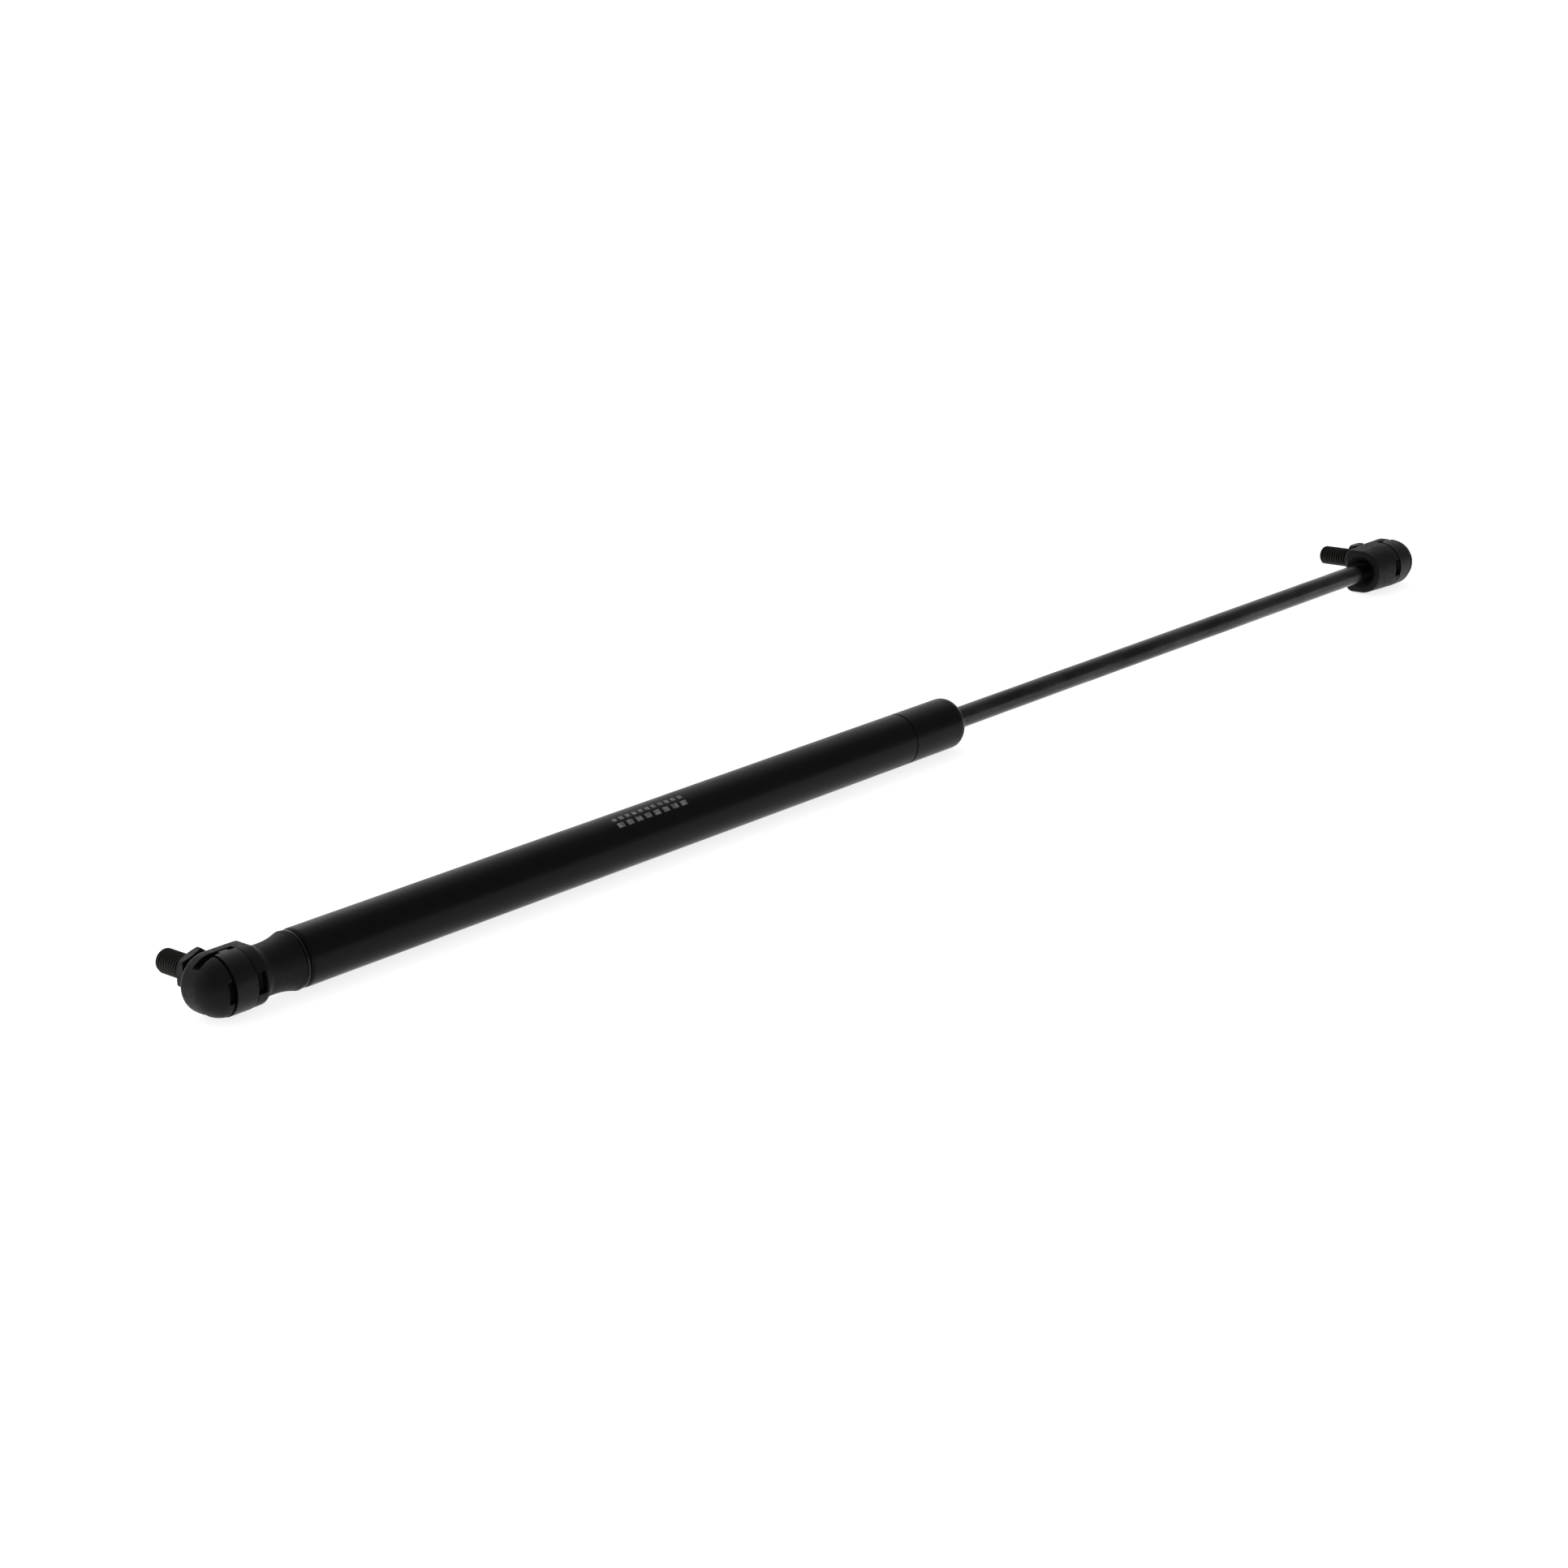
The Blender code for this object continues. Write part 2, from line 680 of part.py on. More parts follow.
def ball_stud(end, hex_turn, pivot):
    """Ball, neck, hexagon and M8 shank in one piece. It spins about its own axis in the socket."""
    chamfer = 0.8 * MM
    collar = 0.5 * MM
    middle = (HEX_START + HEX_END) / 2
    profile = [
        (STUD_END, 0),
        (STUD_END, SHANK_R - chamfer),
        (STUD_END - chamfer, SHANK_R),
        (middle, SHANK_R),
        (middle, STUD_NECK_R + collar),
        (HEX_START - collar, STUD_NECK_R + collar),
        (HEX_START - 4 * collar, STUD_NECK_R),
    ]
    ball_start = math.degrees(math.asin(STUD_NECK_R / BALL_R))
    profile += arc(0, 0, BALL_R, ball_start, 180, 12)
    made = turned(f"{end}_ball_stud", profile, STUD_STEEL, pivot, axis="Y", steps=SMALL_STEPS)
    combine(made, hexagon(end, hex_turn, pivot), "UNION")


def end_pivot(end, x, turn):
    """An empty at a ball's centre, which carries the socket, clip and stud of that end."""
    made = bpy.data.objects.new(f"{end}_pivot", None)
    PARTS.objects.link(made)
    made.location.x = x
    made.rotation_euler.y = turn
    return made


clear_scene()
PARTS = new_collection("gas_strut_stay")
CUTTERS = new_collection("cutters")

pressure_tube()
end_plug()
end_plug_o_ring()
end_washer()
guide_pack()
piston_rod()
piston_pack()

for end_name, end_x, half_turn, hex_degrees in (
    ("cylinder", 0.0, 0.0, 11),
    ("rod", CENTRES, math.pi, 30),
):
    ball_centre = end_pivot(end_name, end_x, half_turn)
    ball_socket(end_name, ball_centre)
    safety_clip(end_name, ball_centre)
    ball_stud(end_name, math.radians(hex_degrees), ball_centre)

for part in PARTS.objects:
    if part.type == "MESH":
        apply_modifiers(part)
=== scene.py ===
"""Looks of the gas strut stay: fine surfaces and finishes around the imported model.

Pieces are modelled in millimetres about the nearer ball's centre, with +X towards the middle of the strut
and +Y along the stud, and are then placed at that ball.
"""

import json
import math

import bmesh
import bpy
from mathutils import Matrix, Vector


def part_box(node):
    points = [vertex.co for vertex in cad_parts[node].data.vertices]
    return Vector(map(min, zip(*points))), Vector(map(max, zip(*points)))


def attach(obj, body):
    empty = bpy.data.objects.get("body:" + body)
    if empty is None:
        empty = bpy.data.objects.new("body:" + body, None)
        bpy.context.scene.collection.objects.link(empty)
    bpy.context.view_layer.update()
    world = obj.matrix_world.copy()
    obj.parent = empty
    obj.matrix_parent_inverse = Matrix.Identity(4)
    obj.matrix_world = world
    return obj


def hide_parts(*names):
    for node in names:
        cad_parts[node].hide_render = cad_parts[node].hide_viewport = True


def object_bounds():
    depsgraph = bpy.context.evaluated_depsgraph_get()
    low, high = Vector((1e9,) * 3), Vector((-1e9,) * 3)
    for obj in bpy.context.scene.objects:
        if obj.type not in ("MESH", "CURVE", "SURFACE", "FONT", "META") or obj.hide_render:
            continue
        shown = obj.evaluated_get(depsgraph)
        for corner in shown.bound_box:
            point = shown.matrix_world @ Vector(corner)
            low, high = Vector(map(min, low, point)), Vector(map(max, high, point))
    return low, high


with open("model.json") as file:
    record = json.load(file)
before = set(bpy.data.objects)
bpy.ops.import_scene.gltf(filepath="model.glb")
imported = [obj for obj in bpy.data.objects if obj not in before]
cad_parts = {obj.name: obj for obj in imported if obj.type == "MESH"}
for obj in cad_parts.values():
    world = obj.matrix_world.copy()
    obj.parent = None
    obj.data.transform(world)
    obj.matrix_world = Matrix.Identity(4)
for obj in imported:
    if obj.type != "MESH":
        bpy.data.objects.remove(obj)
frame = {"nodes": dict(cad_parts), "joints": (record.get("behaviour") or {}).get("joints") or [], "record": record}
cad_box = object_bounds()

MM = 0.001
GAP = 0.3
TAU = 2 * math.pi


def node_range(node):
    """Where a turned CAD node starts and ends along the strut, and its radius, in millimetres."""
    low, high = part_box(node)
    return low.x / MM, high.x / MM, high.z / MM


JOINTS = {joint["name"]: joint for joint in frame["joints"]}
CENTRES = JOINTS["ball_turn_rod_end"]["pos_m"][0] / MM
TUBE_START, TUBE_END, TUBE_R = node_range("pressure_tube")
ROD_START, ROD_END, ROD_R = node_range("piston_rod")
NECK_BASE_X = node_range("cylinder_socket")[1]
ROD_SOCKET_LENGTH = CENTRES - node_range("rod_socket")[0]
ROD_THREAD = CENTRES - 24.0
HEX_START, HEX_END, HEX_FLATS = 14.0, 17.0, 13.0
STUD_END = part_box("cylinder_ball_stud")[1].y / MM
TRAVEL = JOINTS["clip_lift_cylinder_end"]["range_m"][1] / MM

# The two ball centres. The rod end's is turned half a turn about the stud direction.
AT_CYLINDER = Matrix.Identity(4)
AT_ROD = Matrix.Translation((CENTRES * MM, 0, 0)) @ Matrix.Rotation(math.pi, 4, "Y")


# ---------------------------------------------------------------- materials


class Finish:
    """A Principled material and short ways to add nodes to it."""

    def __init__(self, name, colour, roughness, metallic=0.0, ior=1.45):
        self.material = bpy.data.materials.new(name)
        self.material.use_nodes = True
        self.tree = self.material.node_tree
        self.shader = self.tree.nodes["Principled BSDF"]
        self.put("Base Color", (*colour, 1.0))
        self.put("Roughness", roughness)
        self.put("Metallic", metallic)
        self.put("IOR", ior)
        self.where = self.add("ShaderNodeTexCoord").outputs["Object"]

    def add(self, kind, **values):
        """A node with these sockets set or linked; names of properties start with a small letter."""
        node = self.tree.nodes.new(kind)
        for key, value in values.items():
            if hasattr(node, key):
                setattr(node, key, value)
        for key, value in values.items():
            if not hasattr(node, key):
                self.join(value, node.inputs[key.replace("_", " ")])
        return node

    def join(self, value, socket):
        """Links a node's output to the socket, or sets the socket to a plain value."""
        if isinstance(value, bpy.types.NodeSocket):
            self.tree.links.new(value, socket)
        else:
            socket.default_value = value

    def put(self, name, value):
        """The same for a socket of the shader itself."""
        self.join(value, self.shader.inputs[name])

    def noise(self, scale, stretch=(1, 1, 1), detail=3.0, rough=0.5):
        """Noise with about this many features a metre, scaled along each axis."""
        mapping = self.add("ShaderNodeMapping", Vector=self.where, Scale=stretch)
        made = self.add(
            "ShaderNodeTexNoise",
            Vector=mapping.outputs[0],
            Scale=scale,
            Detail=detail,
            Roughness=rough,
        )
        return made.outputs["Fac"]

    def spread(self, value, low, high, out_low=0.0, out_high=1.0):
        """Maps low..high to out_low..out_high, and holds it beyond them."""
        node = self.add("ShaderNodeMapRange")
        for socket, number in zip(node.inputs[1:5], (low, high, out_low, out_high)):
            socket.default_value = number
        self.join(value, node.inputs[0])
        return node.outputs[0]

    def maths(self, operation, first, second=0.0):
        """One Math node of this operation, and its result."""
        node = self.add("ShaderNodeMath", operation=operation)
        self.join(first, node.inputs[0])
        self.join(second, node.inputs[1])
        return node.outputs[0]

    def mix(self, factor, first, second):
        """A colour between two colours; each is a triple or a socket."""
        node = self.add("ShaderNodeMix", data_type="RGBA")
        self.join(factor, node.inputs[0])
        for value, socket in ((first, node.inputs[6]), (second, node.inputs[7])):
            self.join((*value, 1.0) if isinstance(value, tuple) else value, socket)
        return node.outputs[2]

    def bump(self, height, depth, strength=1.0):
        """Raises the surface by up to depth, in metres. A second call adds to the first."""
        node = self.add("ShaderNodeBump", Height=height, Distance=depth, Strength=strength)
        before = self.shader.inputs["Normal"].links
        if before:
            self.join(before[0].from_socket, node.inputs["Normal"])
        self.put("Normal", node.outputs[0])

    def radius(self, axis):
        """Distance from the object's own X or Y axis, in metres."""
        parts = self.add("ShaderNodeSeparateXYZ", Vector=self.where).outputs
        across = [part for name, part in zip("XYZ", parts) if name != axis]
        squares = [self.maths("MULTIPLY", part, part) for part in across]
        return self.maths("SQRT", self.maths("ADD", *squares))

    def worn_edges(self, amount, colour, base):
        """Mixes colour in where the surface is sharply convex."""
        point = self.add("ShaderNodeNewGeometry").outputs["Pointiness"]
        edge = self.spread(point, 0.56, 0.68, 0.0, amount)
        patches = self.spread(self.noise(900), 0.35, 0.65, 0.3, 1.0)
        return self.mix(self.maths("MULTIPLY", edge, patches), base, colour)


def tube_paint():
    """Black satin paint with a faint orange peel and a plain printed mark."""
    made = Finish("tube_paint", (0.002, 0.002, 0.002), 0.3, ior=1.2)
    cloud = made.spread(made.noise(60, (0.3, 1, 1), detail=4.0), 0.3, 0.7)
    base = made.mix(cloud, (0.0012, 0.0012, 0.0011), (0.0026, 0.0025, 0.0022))
    worn = made.spread(made.noise(700, detail=3.0), 0.35, 0.6, 0.35, 1.0)
    mark = made.maths("MULTIPLY", printed_mark(made), worn)
    made.put("Base Color", made.mix(mark, base, (0.25, 0.25, 0.26)))
    made.put("Roughness", made.spread(made.noise(180, (0.25, 1, 1), detail=4.0), 0.3, 0.7, 0.24, 0.36))
    made.bump(made.noise(900, detail=1.0), 0.00001, 0.35)
    return made.material


def printed_mark(made):
    """Two rows of plain dashes along the tube, 127 and 109 degrees round from the stud's side."""
    start, length = 0.153, 0.033
    parts = made.add("ShaderNodeSeparateXYZ", Vector=made.where).outputs
    along = made.maths("DIVIDE", made.maths("SUBTRACT", parts[0], start), length)
    inside = made.maths(
        "MULTIPLY",
        made.maths("GREATER_THAN", along, 0.0),
        made.maths("LESS_THAN", along, 1.0),
    )
    angle = made.maths("ARCTAN2", parts[2], parts[1])
    total = None
    for degrees, dashes, gap, reach in ((127, 8, 0.36, 5.4), (109, 11, 0.4, 4.4)):
        off = made.maths("ABSOLUTE", made.maths("SUBTRACT", angle, math.radians(degrees)))
        row = made.spread(off, math.radians(reach), math.radians(reach + 0.8), 1.0, 0.0)
        phase = made.maths("FRACT", made.maths("MULTIPLY", along, float(dashes)))
        row = made.maths("MULTIPLY", row, made.maths("GREATER_THAN", phase, gap))
        total = row if total is None else made.maths("MAXIMUM", total, row)
    return made.maths("MULTIPLY", total, inside)


def rod_steel():
    """Dark nitrided and polished steel, mottled along the rod. Its thread is darker."""
    made = Finish("rod_steel", (0.1, 0.1, 0.1), 0.3, metallic=1.0)
    mottle = made.spread(made.noise(130, (0.3, 1, 1), detail=5.0, rough=0.65), 0.35, 0.65)
    base = made.mix(mottle, (0.018, 0.018, 0.0185), (0.046, 0.046, 0.049))
    stains = made.spread(made.noise(60, (0.4, 1, 1), detail=5.0), 0.58, 0.68, 0.0, 0.7)
    base = made.mix(stains, base, (0.012, 0.012, 0.0115))
    specks = made.spread(made.noise(800, detail=1.0), 0.68, 0.76, 0.0, 0.6)
    base = made.mix(specks, base, (0.009, 0.009, 0.009))
    along = made.add("ShaderNodeSeparateXYZ", Vector=made.where).outputs["X"]
    threaded = made.maths("GREATER_THAN", along, (ROD_THREAD - 0.2) * MM)
    made.put("Base Color", made.mix(threaded, base, (0.0035, 0.0035, 0.0033)))
    made.put("Roughness", made.spread(made.noise(160, (0.3, 1, 1), detail=4.0), 0.3, 0.7, 0.2, 0.36))
    made.bump(made.noise(1.0, (9000, 150, 150), detail=1.0), 0.000002, 0.4)
    return made.material


def socket_metal():
    """Matte black coating over a fine-grained casting."""
    made = Finish("socket_metal", (0.006, 0.006, 0.006), 0.5, ior=1.22)
    cloud = made.spread(made.noise(260, detail=5.0, rough=0.6), 0.3, 0.7)
    base = made.mix(cloud, (0.0034, 0.0033, 0.0031), (0.0064, 0.0062, 0.0058))
    made.put("Base Color", made.worn_edges(0.25, (0.02, 0.0195, 0.019), base))
    made.put("Roughness", made.spread(made.noise(700, detail=3.0), 0.3, 0.7, 0.42, 0.58))
    made.bump(made.noise(2600, detail=3.0, rough=0.6), 0.00002, 0.3)
    return made.material


def clip_steel():
    """Blackened spring steel with rubbed edges."""
    made = Finish("clip_steel", (0.008, 0.008, 0.008), 0.4, metallic=0.2, ior=1.27)
    cloud = made.spread(made.noise(380, detail=4.0), 0.3, 0.7)
    base = made.mix(cloud, (0.0038, 0.0038, 0.0037), (0.0074, 0.0072, 0.0069))
    made.put("Base Color", made.worn_edges(0.5, (0.09, 0.088, 0.085), base))
    made.put("Roughness", made.spread(made.noise(900, (0.3, 1, 1)), 0.3, 0.7, 0.34, 0.48))
    made.bump(made.noise(2200, (0.2, 1, 1), detail=2.0), 0.000008, 0.3)
    return made.material


def stud_steel():
    """Black phosphate and oil. The crests of the thread are painted lighter, a painted highlight along them."""
    made = Finish("stud_steel", (0.01, 0.01, 0.01), 0.42, metallic=0.4, ior=1.3)
    cloud = made.spread(made.noise(500, detail=4.0), 0.3, 0.7)
    base = made.mix(cloud, (0.0035, 0.0035, 0.0033), (0.0075, 0.0072, 0.0066))
    # painted highlight: the thread's crests above the hexagon are made lighter all round
    crest_highlight = made.spread(made.radius("Y"), 0.00365, 0.00400, 0.0, 0.7)
    height = made.add("ShaderNodeSeparateXYZ", Vector=made.where).outputs["Y"]
    crest_highlight = made.maths("MULTIPLY", crest_highlight, made.maths("GREATER_THAN", height, (HEX_END + 0.1) * MM))
    base = made.mix(crest_highlight, base, (0.06, 0.058, 0.052))
    made.put("Base Color", made.worn_edges(0.4, (0.07, 0.068, 0.062), base))
    made.put("Roughness", made.spread(made.noise(900), 0.3, 0.7, 0.36, 0.5))
    made.bump(made.noise(3000, detail=2.0), 0.000008, 0.3)
    return made.material


def turned_metal(name, colour, roughness):
    """Machined metal with fine rings round the strut's axis and slightly uneven colour."""
    made = Finish(name, colour, roughness, metallic=1.0)
    dark = tuple(part * 0.8 for part in colour)
    made.put("Base Color", made.mix(made.spread(made.noise(300, detail=4.0), 0.3, 0.7), dark, colour))
    spread = made.spread(made.noise(600), 0.3, 0.7, roughness * 0.85, roughness * 1.25)
    made.put("Roughness", spread)
    radial = made.add("ShaderNodeTexNoise", Scale=1.0, Detail=1.0)
    scaled = made.maths("MULTIPLY", made.radius("X"), 9000.0)
    made.join(made.add("ShaderNodeCombineXYZ", X=scaled).outputs[0], radial.inputs["Vector"])
    made.bump(radial.outputs["Fac"], 0.000004, 0.4)
    return made.material


def moulded(name, colour, roughness):
    """Plastic or rubber with a fine moulded grain."""
    made = Finish(name, colour, roughness)
    dark = tuple(part * 0.75 for part in colour)
    made.put("Base Color", made.mix(made.spread(made.noise(400, detail=3.0), 0.3, 0.7), dark, colour))
    made.put("Roughness", made.spread(made.noise(900), 0.3, 0.7, roughness * 0.9, roughness * 1.15))
    made.bump(made.noise(4000, detail=2.0), 0.00001, 0.25)
    return made.material


MATERIALS = {
    "tube_paint": tube_paint(),
    "rod_steel": rod_steel(),
    "socket_metal": socket_metal(),
    "clip_steel": clip_steel(),
    "stud_steel": stud_steel(),
    "dark_steel": turned_metal("dark_steel", (0.022, 0.022, 0.022), 0.28),
    "bright_steel": turned_metal("bright_steel", (0.45, 0.44, 0.42), 0.3),
    "piston_metal": turned_metal("piston_metal", (0.62, 0.62, 0.63), 0.28),
    "seal_rubber": moulded("seal_rubber", (0.016, 0.016, 0.016), 0.65),
    "ring_plastic": moulded("ring_plastic", (0.5, 0.45, 0.32), 0.45),
    "guide_plastic": moulded("guide_plastic", (0.03, 0.03, 0.034), 0.5),
}
SLOTS = {part["node"]: part["material_slot"] for part in frame["record"]["subparts"]}
BODIES = {
    node: body for body, nodes in frame["record"]["behaviour"]["bodies"].items() for node in nodes
}


# ---------------------------------------------------------------- shaping


def rounded(corners, closed=False, steps=6):
    """Points of a path whose corners (along, across, fillet) are rounded to their fillet's radius."""
    points = []
    last = len(corners) - 1
    for i, (x, y, fillet) in enumerate(corners):
        here = Vector((x, y))
        if not fillet or (not closed and i in (0, last)):
            points.append((x, y))
            continue
        back = (Vector(corners[i - 1][:2]) - here).normalized()
        ahead = (Vector(corners[(i + 1) % len(corners)][:2]) - here).normalized()
        half = back.angle(ahead) / 2
        cut = fillet / math.tan(half)
        centre = here + (back + ahead).normalized() * fillet / math.sin(half)
        start = here + back * cut - centre
        end = here + ahead * cut - centre
        points += [tuple(centre + start.slerp(end, k / steps) * fillet) for k in range(steps + 1)]
    return points


def supported(points, closed):
    """Adds points close to both ends of each long straight, which keeps its shading straight."""
    near, long = 0.25, 2.0
    made = []
    ends = points[1:] + points[:1] if closed else points[1:]
    for (x0, y0), (x1, y1) in zip(points, ends):
        made.append((x0, y0))
        length = math.hypot(x1 - x0, y1 - y0)
        if length > long:
            for t in (near / length, 1 - near / length):
                made.append((x0 + (x1 - x0) * t, y0 + (y1 - y0) * t))
    return made if closed else made + [points[-1]]


def lathe(points, axis="X", closed=False, steps=96):
    """A bmesh turned about X or Y from points (along, radius)."""
    bm = bmesh.new()
    rings = []
    for along, radius in supported(points, closed):
        if radius < 0.0001:
            centre = (along, 0, 0) if axis == "X" else (0, along, 0)
            rings.append([bm.verts.new(centre)] * steps)
            continue
        ring = []
        for i in range(steps):
            a, b = radius * math.cos(TAU * i / steps), radius * math.sin(TAU * i / steps)
            ring.append(bm.verts.new((along, a, b) if axis == "X" else (a, along, b)))
        rings.append(ring)
    for first, second in zip(rings, rings[1:] + rings[:1] if closed else rings[1:]):
        for i in range(steps):
            j = (i + 1) % steps
            corners = list(dict.fromkeys((first[i], first[j], second[j], second[i])))
            if len(corners) > 2:
                bm.faces.new(corners)
    return bm


def shape(name, bm):
    """A bare object from a closed bmesh, not yet placed."""
    bmesh.ops.recalc_face_normals(bm, faces=bm.faces)
    mesh = bpy.data.meshes.new(name)
    bm.to_mesh(mesh)
    bm.free()
    made = bpy.data.objects.new(name, mesh)
    bpy.context.scene.collection.objects.link(made)
    return made


def block(name, low, high):
    """A box between two corners."""
    bm = bmesh.new()
    bmesh.ops.create_cube(bm, size=1)
    for vertex in bm.verts:
        vertex.co = [a + (b - a) * (c + 0.5) for a, b, c in zip(low, high, vertex.co)]
    return shape(name, bm)


def combine(target, others, operation):
    """Joins the others to the target or cuts them from it, and uses them up."""
    for other in others:
        modifier = target.modifiers.new("Boolean", "BOOLEAN")
        modifier.operation = operation
        modifier.object = other
        modifier.solver = "EXACT"
    settle(target)
    for other in others:
        bpy.data.objects.remove(other, do_unlink=True)


def settle(made):
    """Applies the object's modifiers."""
    bpy.context.view_layer.update()
    graph = bpy.context.evaluated_depsgraph_get()
    mesh = bpy.data.meshes.new_from_object(made.evaluated_get(graph))
    made.modifiers.clear()
    old = made.data
    made.data = mesh
    bpy.data.meshes.remove(old)


def soften(made, voxel, passes, share):
    """Rounds every edge as a casting or a tumbled pressing has it, and thins the mesh to this share."""
    remesh = made.modifiers.new("Remesh", "REMESH")
    remesh.mode = "VOXEL"
    remesh.voxel_size = voxel
    smooth = made.modifiers.new("Smooth", "SMOOTH")
    smooth.factor = 0.5
    smooth.iterations = passes
    thin = made.modifiers.new("Thin", "DECIMATE")
    thin.ratio = share
    settle(made)


def finished(made, node, at=AT_CYLINDER, sharp=40):
    """Places a piece at its ball and lets it stand for its CAD node."""
    made.data.transform(Matrix.Scale(MM, 4))
    made.matrix_world = at
    made.data.shade_smooth()
    made.data.set_sharp_from_angle(angle=math.radians(sharp))
    made.data.materials.clear()
    made.data.materials.append(MATERIALS[SLOTS[node]])
    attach(made, BODIES[node])
    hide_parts(node)


# ---------------------------------------------------------------- tube, rod and washers


def pressure_tube():
    """Rolled in at both ends, with one groove rolled round it."""
    wall, rod_hole, plug_hole = 1.1, 5.5, 6.4
    bore = TUBE_R - wall
    groove = TUBE_END - 28.5
    half, depth = 0.5, 0.45
    corners = [
        (TUBE_END, rod_hole, 0.15),
        (TUBE_END, TUBE_R, 3.8),
        (groove + half, TUBE_R, 0.12),
        (groove, TUBE_R - depth, 0.1),
        (groove - half, TUBE_R, 0.12),
        (TUBE_START, TUBE_R, 1.4),
        (TUBE_START, plug_hole, 0.2),
        (TUBE_START + wall, plug_hole, 0.2),
        (TUBE_START + wall, bore, 0.3),
        (groove - half, bore, 0.1),
        (groove, bore - depth, 0.12),
        (groove + half, bore, 0.1),
        (TUBE_END - wall, bore, 2.7),
        (TUBE_END - wall, rod_hole, 0.15),
    ]
    points = rounded(corners, closed=True, steps=8)
    finished(shape("tube_skin", lathe(points, closed=True, steps=160)), "pressure_tube")


def piston_rod():
    """Polished rod with its riveted spigot and its threaded end."""
    spigot_r, rivet_r, washer_thickness = 2.5, 3.7, 1.1
    shoulder = node_range("piston_washer")[0] + washer_thickness
    rivet = node_range("orifice_disc")[0] - GAP
    corners = [
        (ROD_THREAD, 0, 0),
        (ROD_THREAD, ROD_R - 0.4, 0.1),
        (ROD_THREAD - 0.3, ROD_R, 0.2),
        (shoulder, ROD_R, 0.15),
        (shoulder, spigot_r, 0.15),
        (rivet, spigot_r, 0.1),
        (rivet, rivet_r, 0.15),
        (ROD_START, rivet_r, 0.7),
        (ROD_START, 0, 0),
    ]
    made = shape("rod_polished", lathe(rounded(corners)))
    screwed = thread(ROD_THREAD - 1, ROD_THREAD + 2, ROD_END, ROD_R)
    screwed.data.transform(Matrix.Rotation(-math.pi / 2, 4, "Z"))
    combine(made, [screwed], "UNION")
    finished(made, "piston_rod", sharp=32)


def ring(node, inner, edge):
    """A plain ring with rounded edges, in the place of a turned CAD node."""
    start, end, outer = node_range(node)
    corners = [
        (end, inner, edge / 2),
        (end, outer, edge),
        (start, outer, edge),
        (start, inner, edge / 2),
    ]
    points = rounded(corners, closed=True, steps=4)
    finished(shape(f"{node}_fine", lathe(points, closed=True)), node)


# ---------------------------------------------------------------- sockets

BODY_R = 9.65
BODY_FACE = 8.0
BODY_CORNER = 3.0
CYLINDER_CAP_X, ROD_CAP_X = -3.3, -2.4
SEAT_R, MOUTH_R = 5.3, 7.2
SHOULDER_X, SHOULDER_LENGTH, SHOULDER_DROP = 8.1, 4.2, 3.0
NECK_R = 8.1
NECK_BASE_R = 9.5
ROD_TAPER, ROD_BEVEL = 0.5, 0.4
DISH_R, DISH_DEPTH = 7.0, 2.4
BORE_END = 8.0
CLIP_WIDTH, CLIP_THICK, CLIP_OUTER_R = 7.6, 0.8, 9.8
BAND_FLOOR = CLIP_OUTER_R - CLIP_THICK - 0.4
BAND_OUTER_X, BAND_INNER_X = -CLIP_WIDTH / 2 - 0.7, CLIP_WIDTH / 2 + 0.3
SLOT_LOW, SLOT_HIGH, SLOT_FLOOR = -0.4, 2.6, 6.6
LEG_HOLE_HALF, LEG_HOLE_HIGH, LEG_HOLE_DEEP = 1.8, 4.2, 2.0
PRY_HALF, PRY_FLOOR, PRY_START, PRY_END = 3.4, 6.8, -6.2, 7.3


def arc(size, start, end, steps, centre=(0.0, 0.0)):
    """Points on a circle, from one angle to another in degrees."""
    angles = [math.radians(start + (end - start) * i / steps) for i in range(steps + 1)]
    return [(centre[0] + size * math.cos(a), centre[1] + size * math.sin(a)) for a in angles]


def socket_blank(cap_x, ends):
    """Rounded outer end about cap_x, and the body drawn inboard to each (x, scale) in ends."""
    inner = BODY_FACE - BODY_CORNER
    section = arc(BODY_R, 180, 90, 24)
    section += arc(BODY_CORNER, 90, 0, 12, (inner, BODY_R - BODY_CORNER)) + [(BODY_FACE, 0)]
    bm = bmesh.new()
    verts = [bm.verts.new((cap_x, y, width)) for y, width in section]
    edges = [bm.edges.new(pair) for pair in zip(verts, verts[1:])]
    bmesh.ops.spin(
        bm, geom=verts + edges, cent=(cap_x, 0, 0), axis=(0, 1, 0), angle=-math.pi, steps=64
    )
    bmesh.ops.remove_doubles(bm, verts=bm.verts, dist=0.001)
    rim = [edge for edge in bm.edges if edge.is_boundary]
    for x, scale in ends:
        drawn = bmesh.ops.extrude_edge_only(bm, edges=rim)["geom"]
        for vertex in (item for item in drawn if isinstance(item, bmesh.types.BMVert)):
            vertex.co = (x, vertex.co.y * scale, vertex.co.z * scale)
        rim = [e for e in drawn if isinstance(e, bmesh.types.BMEdge) and e.is_boundary]
    bmesh.ops.contextual_create(bm, geom=rim)
    return shape("socket_blank", bm)


def band_groove():
    """The recess for the clip's band, round the back from one slot to the other."""
    start = math.degrees(math.acos((SLOT_LOW + SLOT_HIGH) / 2 / BAND_FLOOR))
    outer = arc(BODY_R + 4, start, 360 - start, 96)
    inner = arc(BAND_FLOOR, 360 - start, start, 96)
    bm = bmesh.new()
    sides = [[bm.verts.new((x, y, z)) for y, z in outer + inner] for x in (BAND_OUTER_X, BAND_INNER_X)]
    count = len(sides[0])
    for i in range(count // 2 - 1):
        j = count - 1 - i
        for side in sides:
            bm.faces.new((side[i], side[i + 1], side[j - 1], side[j]))
    for i in range(count):
        j = (i + 1) % count
        bm.faces.new((sides[0][i], sides[0][j], sides[1][j], sides[1][i]))
    return shape("band_groove", bm)


